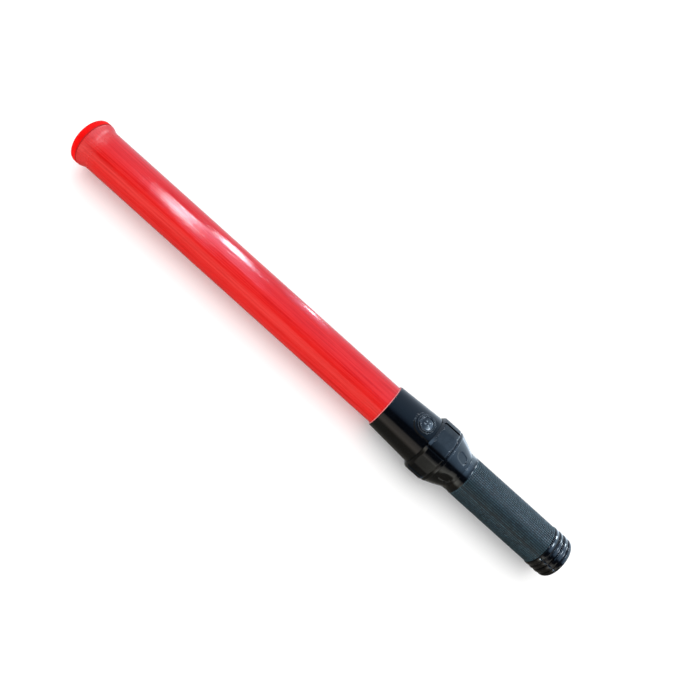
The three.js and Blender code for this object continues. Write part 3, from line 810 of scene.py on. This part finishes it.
dome_rows = np.arange(5.2, -0.01, -0.2)
dome = np.stack([dome_rows, DOME["height"] - DOME["drop"] * (dome_rows / DOME["radius"]) ** 2], axis=1)
button_profile = np.concatenate([
    rounded([(0, 17.4, 0), (8.2, 17.4, 0.1), (8.2, 18.4, 0.1), (BUTTON_RADIUS, 18.4, 0.1),
             (BUTTON_RADIUS, 25.5, 0.3), (6.7, 25.9, 0.25), (6.1, 25.9, 0.25), (5.5, 25.3, 0.2),
             (5.3, 25.42, 0)], closed=False),
    dome])
button = upright("button_cap", button_profile, MATERIAL["button_plastic"], count=144,
                 at=(BUTTON, 0), shape=dotted, closed=False, body="button",
                 stands_for=["push_button"], slot="button_plastic")
button.data.materials.append(MATERIAL["button_dots_painted_glint"])  # the dots are painted pale, a painted highlight for their glints
for face in button.data.polygons:
    x, y = station(face.center.x) - BUTTON, face.center.y / MM
    if face.center.z > AXIS + 25 * MM and dot_distance(x, y).min() < DOT["pale"]:
        face.material_index = 1
upright("plunger", rounded([
    (0, 9.8, 0), (2.2, 9.8, 0.3), (2.2, 15.2, 0.1), (3.2, 15.2, 0.2), (3.2, 17.1, 0.2), (0, 17.1, 0)],
    closed=False), MATERIAL["inner_white"], at=(BUTTON, 0), closed=False, body="button",
        stands_for=["switch_plunger"], slot="inner_white")

SPRING = {"turns": 3, "radius": 4.4, "wire": 0.35, "foot": 13.1, "pitch": 1.15}
turns = np.linspace(0, SPRING["turns"], SPRING["turns"] * 36 + 1)
coil = np.stack([
    BUTTON + SPRING["radius"] * np.cos(2 * np.pi * turns),
    SPRING["radius"] * np.sin(2 * np.pi * turns),
    SPRING["foot"] + SPRING["pitch"] * turns,
], axis=1)
spring = swept("button_coil", coil, SPRING["wire"], MATERIAL["spring_steel"],
               stands_for=["button_spring"], slot="spring_steel")
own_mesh(spring)

# ---------------------------------------------------------------- light tube


FLOW_PHASES = np.random.default_rng(5).uniform(0, 2 * np.pi, len(FLOW_WAVES))


def tube_shape(s, r, a):
    """Faint flow ribs outside, and the prism ribs that spread the light inside."""
    outside = r > TUBE - 0.01
    flow = -FLOW_HEIGHT * len(FLOW_WAVES) * np.ones(np.shape(a))
    for count, phase in zip(FLOW_WAVES, FLOW_PHASES):
        flow = flow + FLOW_HEIGHT * np.cos(np.radians(a * count) + phase)
    prism = np.abs((a * INNER_RIBS / 360) % 1 - 0.5) * 2 * INNER_RIB_HEIGHT
    inside = (r < TUBE_BORE + 0.01) & (s > TUBE_FOOT + 1) & (s < INNER_RIBS_END)
    return np.where(outside, r + flow, np.where(inside, r - prism, r))


tube_rows = np.linspace(TUBE_FOOT + 0.4, FLARE_START - 13, 36)
tube_profile = np.concatenate([
    np.array([[TUBE_FOOT, TUBE_BORE], [TUBE_FOOT, TUBE - 0.3]]),
    level(tube_rows, TUBE),
    rounded([(FLARE_START - 12, TUBE, 0), (FLARE_START - 1, TUBE + 0.02, 30),
             (FLARE_END - 0.8, FLARE - 0.25, 1.6), (FLARE_END, FLARE, 0.4),
             (TUBE_END, FLARE - 0.3, 0.15), (TUBE_END, TUBE_BORE, 0)], closed=False, steps=6),
    level(tube_rows[::-4], TUBE_BORE),
])
lathe("tube_shell", tube_profile, evenly(720), MATERIAL["tube_red"], tube_shape,
      stands_for=["light_tube"], slot="tube_red")



def liner_shape(s, r, a):
    """Ribs on the inside of the diffuser sleeve."""
    return np.where(r < 16.8, r - LINER_RIB_HEIGHT * np.cos(np.radians(LINER_RIBS * a)), r)


liner_from, liner_to = ends("prism_liner")
lathe("liner_sleeve", rounded([
    (liner_from, 16.7, 0.1), (liner_to, 16.7, 0.1), (liner_to, 17.4, 0.1),
    (liner_from, 17.4, 0.1)]), evenly(240), MATERIAL["liner_red"], liner_shape,
      stands_for=["prism_liner"], slot="liner_red")

gasket_from, gasket_to = ends("top_cap_gasket")
gasket_radius = FLARE - 0.06
lathe("top_gasket", rounded([
    (gasket_from, 17.75, 0), (gasket_to, 17.75, 0), (gasket_to, gasket_radius, 0.05),
    (gasket_from, gasket_radius, 0.05)]), evenly(180), MATERIAL["gasket_red"],
      stands_for=["top_cap_gasket"], slot="seal_rubber")

lid = ends("top_cap")[0]
TOP_START = gasket_to + 0.1
lathe("top_lid", refined(rounded([
    (lid + 12.6, 0, 0), (lid + 12.6, 15.2, 0.6), (lid, 15.2, 0.3), (lid, 17.5, 0.3), (TOP_START, 17.5, 0.2),
    (TOP_START, FLARE, 0.12), (536.4, FLARE, 1.2), (538.2, 21.1, 1.4), (539.4, 19.6, 1.4),
    (LENGTH, 17.6, 1.4), (LENGTH, 14.4, 0.2), (LENGTH - 0.35, 13.9, 0.2), (LENGTH - 0.35, 0, 0),
], closed=False), 1.2, closed=False), evenly(180), MATERIAL["top_red"], closed=False,
      stands_for=["top_cap"], slot="top_red")

# ---------------------------------------------------------------- inside: cells and contacts

CELL = 17.1
for node_name in ("cell_rear", "cell_front"):
    first, last = ends(node_name)
    lathe(node_name + "_sleeve", rounded([
        (first + 0.5, 15.0, 0.1), (first + 0.5, 16.6, 0.3), (first + 0.9, CELL, 0.5), (last - 3.3, CELL, 0.5),
        (last - 2.8, 16.6, 0.3), (last - 2.8, 13.0, 0.1), (last - 3.3, 13.0, 0), (last - 3.6, 16.2, 0.2),
        (first + 1.3, 16.2, 0.2), (first + 1.0, 15.0, 0)]),
          evenly(120), MATERIAL["sleeve_blue"], stands_for=[node_name], slot="sleeve_blue")
    lathe(node_name + "_can", rounded([
        (first, 0, 0), (first, 9.5, 0.4), (first + 0.5, 10.2, 0.3), (first + 0.3, 14.2, 0.5),
        (first + 1.4, 15.9, 0.6), (last - 3.8, 15.9, 0.6), (last - 2.1, 12.8, 0.5),
        (last - 2.1, 4.9, 0.3), (last - 1.5, 4.7, 0.3), (last, 4.3, 0.5), (last, 0, 0),
    ], closed=False),
          evenly(96), MATERIAL["cell_can"], closed=False, stands_for=[node_name], slot="cell_can")

lathe("front_button", rounded([
    (149.2, 0, 0), (149.2, 3.4, 0.3), (149.9, 3.8, 0.2), (149.9, 8.5, 0.2), (150.6, 8.5, 0.2),
    (150.6, 1.1, 0.1), (156.2, 1.1, 0.2), (156.2, 0, 0),
], closed=False), evenly(64), MATERIAL["brass_strip"], closed=False,
      stands_for=["front_contact"], slot="brass_strip")

upright("capacitor_can", rounded([
    (0, 4.3, 0), (2.3, 4.3, 0.2), (2.5, 4.6, 0.2), (2.5, 5.3, 0.1), (2.3, 5.5, 0.1),
    (2.5, 5.7, 0.1), (2.5, 10.2, 0.3), (2.0, 10.6, 0.1), (2.0, 10.45, 0.1), (0, 10.45, 0),
], closed=False), MATERIAL["sleeve_blue"], count=64, at=middle("capacitor"), closed=False,
        stands_for=["capacitor"], slot="sleeve_blue")

for number in (1, 2):
    screw = f"board_screw_{number}"
    upright(f"screw_{number}", rounded([
        (0, -4.5, 0), (1.05, -3.8, 0.1), (1.05, 4.4, 0.05), (2.2, 4.4, 0.1), (2.2, 5.1, 0.3),
        (1.4, 5.7, 0.3), (0.5, 5.7, 0.05), (0.35, 5.2, 0.05), (0, 5.2, 0),
    ], closed=False), MATERIAL["spring_steel"], count=48, at=middle(screw), closed=False,
            stands_for=[screw], slot="spring_steel")

# ---------------------------------------------------------------- floor, light and camera


def direction(angle):
    """A unit vector square to the baton, at an angle from straight up towards +Y."""
    return Vector((0, math.sin(math.radians(angle)), math.cos(math.radians(angle))))


FLOOR_HALF = 4.0
floor_mesh = bpy.data.meshes.new("floor")
corners = [(x * FLOOR_HALF, y * FLOOR_HALF, 0) for x, y in ((-1, -1), (1, -1), (1, 1), (-1, 1))]
floor_mesh.from_pydata(corners, [], [(0, 1, 2, 3)])
floor = bpy.data.objects.new("floor", floor_mesh)
bpy.context.scene.collection.objects.link(floor)
paper = Finish("floor_paper", Roughness=0.9, Specular_IOR_Level=0.1)
paper.colour(paper.mix(paper.noise(40, detail=5), (0.955, 0.955, 0.955, 1), (0.975, 0.975, 0.975, 1)))
floor_mesh.materials.append(paper.material)
floor.visible_glossy = False

# what gloss reflects, by angle from straight up towards +Y: a pale window side, a dark gap in
# the studio and a warm wall. The window side is brighter beyond the tail and beyond the top.
# Soft surfaces see plain white light.
REFLECTED = [
    (-180, (0.16, 0.15, 0.13), (0.16, 0.15, 0.13)),
    (-150, (0.30, 0.32, 0.34), (0.50, 0.56, 0.62)),
    (-120, (0.75, 0.86, 1.00), (1.60, 1.90, 2.20)),
    (-70, (0.52, 0.70, 0.95), (1.70, 2.30, 2.90)),
    (-22, (0.36, 0.56, 0.84), (1.40, 2.10, 3.00)),
    (6, (0.24, 0.40, 0.62), (0.95, 1.50, 2.20)),
    (20, (0.10, 0.17, 0.30), (0.60, 0.95, 1.40)),
    (27, (0.012, 0.02, 0.035), (0.04, 0.06, 0.12)),
    (32, (0.006, 0.008, 0.012), (0.006, 0.008, 0.02)),
    (55, (0.006, 0.006, 0.006), (0.006, 0.006, 0.006)),
    (62, (0.62, 0.56, 0.50), (0.95, 0.92, 0.84)),
    (84, (0.95, 0.84, 0.72), (1.9, 1.9, 1.7)),
    (100, (0.20, 0.18, 0.13), (0.25, 0.22, 0.16)),
    (130, (0.14, 0.13, 0.10), (0.16, 0.15, 0.12)),
    (180, (0.16, 0.15, 0.13), (0.16, 0.15, 0.13)),
]
TAILWARD = (-0.06, -0.27)  # the share of a direction that points along the baton
TOPWARD = (0.9, 1.0)
BRIGHTNESS = [  # by the same share; the collar's panels face a dim stretch
    (-1.0, 0.6), (-0.65, 0.75), (-0.5, 0.9), (-0.42, 1.9), (-0.36, 1.15), (-0.225, 1.0), (-0.212, 0.52),
    (-0.175, 0.52), (-0.165, 1.0), (1.0, 1.0)]
SOFT_LIGHT = 1.0

world = bpy.data.worlds.new("studio")
bpy.context.scene.world = world
world.use_nodes = True
tree = world.node_tree
tree.nodes.clear()


def world_node(kind, **settings):
    return add_node(tree, kind, **settings)


def world_range(source, low, high, smooth=True):
    made = world_node("ShaderNodeMapRange", interpolation_type="SMOOTHSTEP" if smooth else "LINEAR")
    made.inputs["From Min"].default_value = low
    made.inputs["From Max"].default_value = high
    tree.links.new(source, made.inputs["Value"])
    return made.outputs["Result"]


def world_ramp(share, rows):
    """A colour by share, from rows of (share, colour)."""
    made = world_node("ShaderNodeValToRGB")
    stops = made.color_ramp.elements
    while len(stops) > 1:
        stops.remove(stops[0])
    for index, (position, colour) in enumerate(rows):
        stop = stops[0] if index == 0 else stops.new(position)
        stop.position = position
        stop.color = (*colour, 1)
    tree.links.new(share, made.inputs["Fac"])
    return made.outputs["Color"]


way = world_node("ShaderNodeTexCoord")
parts = world_node("ShaderNodeSeparateXYZ")
around = world_node("ShaderNodeMath", operation="ARCTAN2")
tree.links.new(way.outputs["Generated"], parts.inputs["Vector"])
tree.links.new(parts.outputs["Y"], around.inputs[0])
tree.links.new(parts.outputs["Z"], around.inputs[1])
angle_share = world_range(around.outputs["Value"], -math.pi, math.pi, smooth=False)
brighter = world_node("ShaderNodeMath", operation="MAXIMUM")
tree.links.new(world_range(parts.outputs["X"], *TAILWARD), brighter.inputs[0])
tree.links.new(world_range(parts.outputs["X"], *TOPWARD), brighter.inputs[1])
between = world_node("ShaderNodeMix", data_type="RGBA")
tree.links.new(brighter.outputs["Value"], between.inputs["Factor"])
near, far = [i for i in between.inputs if i.type == "RGBA"]
for column, target in ((1, near), (2, far)):
    rows = [(row[0] / 360 + 0.5, row[column]) for row in REFLECTED]
    tree.links.new(world_ramp(angle_share, rows), target)
ray = world_node("ShaderNodeLightPath")
soft = world_node("ShaderNodeBackground")
soft.inputs["Strength"].default_value = SOFT_LIGHT
soft.inputs["Color"].default_value = (1, 1, 1, 1)
shiny = world_node("ShaderNodeBackground")
choose = world_node("ShaderNodeMixShader")
output = world_node("ShaderNodeOutputWorld")
tree.links.new(next(o for o in between.outputs if o.type == "RGBA"), shiny.inputs["Color"])
lengthwise = world_range(parts.outputs["X"], -1, 1, smooth=False)
rows = [((x + 1) / 2, (b, b, b)) for x, b in BRIGHTNESS]
tree.links.new(world_ramp(lengthwise, rows), shiny.inputs["Strength"])
tree.links.new(ray.outputs["Is Glossy Ray"], choose.inputs["Fac"])
tree.links.new(soft.outputs["Background"], choose.inputs[1])
tree.links.new(shiny.outputs["Background"], choose.inputs[2])
tree.links.new(choose.outputs["Shader"], output.inputs["Surface"])


def lamp(name, place, target, size, power, colour, **seen):
    """A rectangular lamp at place that faces target, its length along the baton."""
    data = bpy.data.lights.new(name, "AREA")
    data.shape = "RECTANGLE"
    data.size, data.size_y = size
    data.energy = power
    data.color = colour
    made = bpy.data.objects.new(name, data)
    bpy.context.scene.collection.objects.link(made)
    away = (place - target).normalized()
    across = Vector((1, 0, 0))
    across = (across - away * across.dot(away)).normalized()
    turned = Matrix((across, away.cross(across), away)).transposed().to_4x4()
    made.matrix_world = Matrix.Translation(place) @ turned
    for kind, value in seen.items():
        setattr(made, kind, value)


on_axis = Vector((0, 0, AXIS))
lamp("key", Vector((0.1, -0.55, 2.2)), on_axis, (3.2, 3.2), 27, (1.0, 0.985, 0.96),
     visible_glossy=False)
lamp("fill", Vector((0.0, 1.9, 0.9)), on_axis, (2.4, 1.6), 11, (1.0, 1.0, 1.0),
     visible_glossy=False)

# camera: square to the baton's axis, over its left side
VIEW_ANGLE = 29.7  # of the line of sight about the axis
ROLL = (0.7438, 0.6684)  # how far the picture's right runs tailwards, and how far sideways
LOOK_AT = 252.1  # station under the middle of the picture
SIDE_STEP = 15.3
DISTANCE = 554.0
LENS = 33.17

towards = direction(VIEW_ANGLE)
sideways = direction(VIEW_ANGLE - 90)
right = Vector((-1, 0, 0)) * ROLL[0] + sideways * ROLL[1]
up = Vector((1, 0, 0)) * ROLL[1] + sideways * ROLL[0]
eye = Vector((TAIL + LOOK_AT * MM, 0, AXIS)) + sideways * SIDE_STEP * MM + towards * DISTANCE * MM
camera_data = bpy.data.cameras.new("camera")
camera_data.lens = LENS
camera_data.sensor_width = 36.0
camera_data.clip_start, camera_data.clip_end = 0.01, 50
camera = bpy.data.objects.new("camera", camera_data)
bpy.context.scene.collection.objects.link(camera)
camera.matrix_world = Matrix.Translation(eye) @ Matrix((right, up, towards)).transposed().to_4x4()
bpy.context.scene.camera = camera

# lamps that the tube reflects as white glints and as the haze about them, each set where the
# camera sees it mirrored: station, angle, lamp length, lamp width, power
GLINT_DISTANCE = 1.5
WHITE, HAZE = (0.90, 0.93, 1.0), (0.35, 0.66, 1.0)
GLINTS = [
    (438, 8.0, 0.06, 1.30, 8.0, WHITE),
    (381, -12.0, 0.07, 0.80, 8.0, WHITE),
    (298, -33.0, 0.05, 0.36, 0.9, WHITE),
    (436, 13.0, 0.20, 2.40, 3.0, HAZE),
    (381, 2.0, 0.20, 1.80, 2.6, HAZE),
    (300, -24.0, 0.16, 0.90, 0.9, HAZE),
]
for number, (s, angle, length, width, power, colour) in enumerate(GLINTS, 1):
    outward = direction(angle)
    spot = Vector((TAIL + s * MM, 0, AXIS)) + outward * TUBE * MM
    seen_from = (eye - spot).normalized()
    mirrored = outward * 2 * outward.dot(seen_from) - seen_from
    lamp(f"glint_{number}", spot + mirrored * GLINT_DISTANCE, spot, (length, width), power,
         colour, visible_diffuse=False)

# small lamps towards the tail that pick out the lips of the collar, the pad and the ridges
SPARK_ANGLES = (-14, -60)
SPARK = {"tailward": -0.50, "size": (0.16, 0.40), "power": 7.0, "colour": (0.78, 0.91, 1.0)}
for number, angle in enumerate(SPARK_ANGLES, 1):
    square_on = math.sqrt(1 - SPARK["tailward"] ** 2)
    away = direction(angle) * square_on + Vector((SPARK["tailward"], 0, 0))
    lamp(f"spark_{number}", on_axis + away * GLINT_DISTANCE, on_axis, SPARK["size"],
         SPARK["power"], SPARK["colour"], visible_diffuse=False)

bpy.context.scene.view_settings.view_transform = "Standard"
